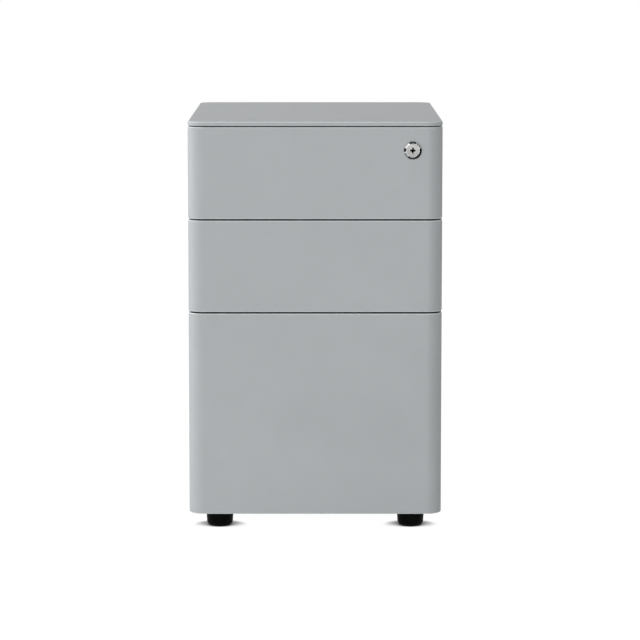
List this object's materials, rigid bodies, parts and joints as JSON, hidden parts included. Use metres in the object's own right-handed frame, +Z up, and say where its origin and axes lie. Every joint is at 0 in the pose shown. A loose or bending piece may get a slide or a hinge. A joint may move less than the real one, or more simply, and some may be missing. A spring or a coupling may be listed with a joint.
{
  "type": "drawer pedestal",
  "caption": "Floor-standing steel pedestal: box drawers over a file drawer on telescopic slides, concealed side finger grips, a central lock and levelling feet.",
  "frame": {"origin": "on the floor under the middle of the object's box", "axes": "+Z up, -Y out of the drawer fronts, +X to the right of someone who faces the fronts"},
  "size_m": [0.39, 0.563, 0.632],
  "materials": {
    "cabinet_paint": "satin light grey powder coat",
    "slide_steel": "bright zinc plate",
    "zinc_steel": "dull zinc plate",
    "lock_chrome": "polished chrome plate",
    "lock_satin": "satin nickel plate",
    "black_plastic": "smooth black nylon"
  },
  "bodies": {
    "cabinet": {"top_panel": "cabinet_paint", "side_panel_left": "cabinet_paint", "side_panel_right": "cabinet_paint", "back_panel": "cabinet_paint", "base_pan": "cabinet_paint", "base_channel_front": "cabinet_paint", "base_channel_rear": "cabinet_paint", "top_rail": "cabinet_paint", "front_post_left": "cabinet_paint", "front_post_right": "cabinet_paint", "rear_post_left": "cabinet_paint", "rear_post_right": "cabinet_paint", "top_slide_outer_left": "slide_steel", "top_slide_outer_right": "slide_steel", "middle_slide_outer_left": "slide_steel", "middle_slide_outer_right": "slide_steel", "file_slide_outer_left": "slide_steel", "file_slide_outer_right": "slide_steel"},
    "top_drawer": {"top_drawer_front": "cabinet_paint", "top_drawer_liner": "cabinet_paint", "top_drawer_tray": "cabinet_paint", "top_drawer_catch": "zinc_steel", "top_slide_inner_left": "slide_steel", "top_slide_inner_right": "slide_steel", "lock_barrel": "lock_chrome", "lock_nut": "zinc_steel"},
    "top_slide_middles": {"top_slide_middle_left": "slide_steel", "top_slide_middle_right": "slide_steel"},
    "top_outer_retainers": {"top_outer_retainers": "slide_steel"},
    "top_inner_retainers": {"top_inner_retainers": "slide_steel"},
    "middle_drawer": {"middle_drawer_front": "cabinet_paint", "middle_drawer_liner": "cabinet_paint", "middle_drawer_tray": "cabinet_paint", "middle_drawer_catch": "zinc_steel", "middle_slide_inner_left": "slide_steel", "middle_slide_inner_right": "slide_steel"},
    "middle_slide_middles": {"middle_slide_middle_left": "slide_steel", "middle_slide_middle_right": "slide_steel"},
    "middle_outer_retainers": {"middle_outer_retainers": "slide_steel"},
    "middle_inner_retainers": {"middle_inner_retainers": "slide_steel"},
    "file_drawer": {"file_drawer_front": "cabinet_paint", "file_drawer_liner": "cabinet_paint", "file_drawer_tray": "cabinet_paint", "file_drawer_catch": "zinc_steel", "file_slide_inner_left": "slide_steel", "file_slide_inner_right": "slide_steel", "file_rails": "zinc_steel"},
    "file_slide_middles": {"file_slide_middle_left": "slide_steel", "file_slide_middle_right": "slide_steel"},
    "file_outer_retainers": {"file_outer_retainers": "slide_steel"},
    "file_inner_retainers": {"file_inner_retainers": "slide_steel"},
    "lock_plug": {"lock_plug": "lock_satin", "lock_cam": "zinc_steel"},
    "lock_bar": {"lock_bar": "zinc_steel", "lock_arm": "zinc_steel", "lock_hooks": "zinc_steel"},
    "foot_front_left": {"foot_front_left": "black_plastic"},
    "foot_front_right": {"foot_front_right": "black_plastic"},
    "foot_rear_left": {"foot_rear_left": "black_plastic"},
    "foot_rear_right": {"foot_rear_right": "black_plastic"}
  },
  "joints": [
    {"name": "top_drawer_slide", "type": "slide", "parent": "cabinet", "child": "top_drawer", "axis": [0, -1, 0], "range_m": [0, 0.43]},
    {"name": "top_slide_middles_slide", "type": "slide", "parent": "cabinet", "child": "top_slide_middles", "axis": [0, -1, 0], "range_m": [0, 0.215]},
    {"name": "top_outer_retainers_slide", "type": "slide", "parent": "cabinet", "child": "top_outer_retainers", "axis": [0, -1, 0], "range_m": [0, 0.1075]},
    {"name": "top_inner_retainers_slide", "type": "slide", "parent": "cabinet", "child": "top_inner_retainers", "axis": [0, -1, 0], "range_m": [0, 0.3225]},
    {"name": "middle_drawer_slide", "type": "slide", "parent": "cabinet", "child": "middle_drawer", "axis": [0, -1, 0], "range_m": [0, 0.43]},
    {"name": "middle_slide_middles_slide", "type": "slide", "parent": "cabinet", "child": "middle_slide_middles", "axis": [0, -1, 0], "range_m": [0, 0.215]},
    {"name": "middle_outer_retainers_slide", "type": "slide", "parent": "cabinet", "child": "middle_outer_retainers", "axis": [0, -1, 0], "range_m": [0, 0.1075]},
    {"name": "middle_inner_retainers_slide", "type": "slide", "parent": "cabinet", "child": "middle_inner_retainers", "axis": [0, -1, 0], "range_m": [0, 0.3225]},
    {"name": "file_drawer_slide", "type": "slide", "parent": "cabinet", "child": "file_drawer", "axis": [0, -1, 0], "range_m": [0, 0.43]},
    {"name": "file_slide_middles_slide", "type": "slide", "parent": "cabinet", "child": "file_slide_middles", "axis": [0, -1, 0], "range_m": [0, 0.215]},
    {"name": "file_outer_retainers_slide", "type": "slide", "parent": "cabinet", "child": "file_outer_retainers", "axis": [0, -1, 0], "range_m": [0, 0.1075]},
    {"name": "file_inner_retainers_slide", "type": "slide", "parent": "cabinet", "child": "file_inner_retainers", "axis": [0, -1, 0], "range_m": [0, 0.3225]},
    {"name": "lock_turn", "type": "hinge", "parent": "top_drawer", "child": "lock_plug", "pos_m": [0.1488, -0.28, 0.5882], "axis": [0, 1, 0], "range_deg": [0, 90]},
    {"name": "lock_bar_lift", "type": "slide", "parent": "cabinet", "child": "lock_bar", "axis": [0, 0, 1], "range_m": [0, 0.0099]},
    {"name": "foot_front_left_turn", "type": "hinge", "parent": "cabinet", "child": "foot_front_left", "pos_m": [-0.1485, -0.232, 0.0284], "axis": [0, 0, 1], "continuous": true},
    {"name": "foot_front_right_turn", "type": "hinge", "parent": "cabinet", "child": "foot_front_right", "pos_m": [0.1485, -0.232, 0.0284], "axis": [0, 0, 1], "continuous": true},
    {"name": "foot_rear_left_turn", "type": "hinge", "parent": "cabinet", "child": "foot_rear_left", "pos_m": [-0.1485, 0.232, 0.0284], "axis": [0, 0, 1], "continuous": true},
    {"name": "foot_rear_right_turn", "type": "hinge", "parent": "cabinet", "child": "foot_rear_right", "pos_m": [0.1485, 0.232, 0.0284], "axis": [0, 0, 1], "continuous": true}
  ],
  "couplings": [
    {"joint": "top_slide_middles_slide", "follows": "top_drawer_slide", "ratio": 0.5},
    {"joint": "top_outer_retainers_slide", "follows": "top_drawer_slide", "ratio": 0.25},
    {"joint": "top_inner_retainers_slide", "follows": "top_drawer_slide", "ratio": 0.75},
    {"joint": "middle_slide_middles_slide", "follows": "middle_drawer_slide", "ratio": 0.5},
    {"joint": "middle_outer_retainers_slide", "follows": "middle_drawer_slide", "ratio": 0.25},
    {"joint": "middle_inner_retainers_slide", "follows": "middle_drawer_slide", "ratio": 0.75},
    {"joint": "file_slide_middles_slide", "follows": "file_drawer_slide", "ratio": 0.5},
    {"joint": "file_outer_retainers_slide", "follows": "file_drawer_slide", "ratio": 0.25},
    {"joint": "file_inner_retainers_slide", "follows": "file_drawer_slide", "ratio": 0.75},
    {"joint": "lock_turn", "follows": "lock_bar_lift", "rad_per_m": 158.66}
  ]
}
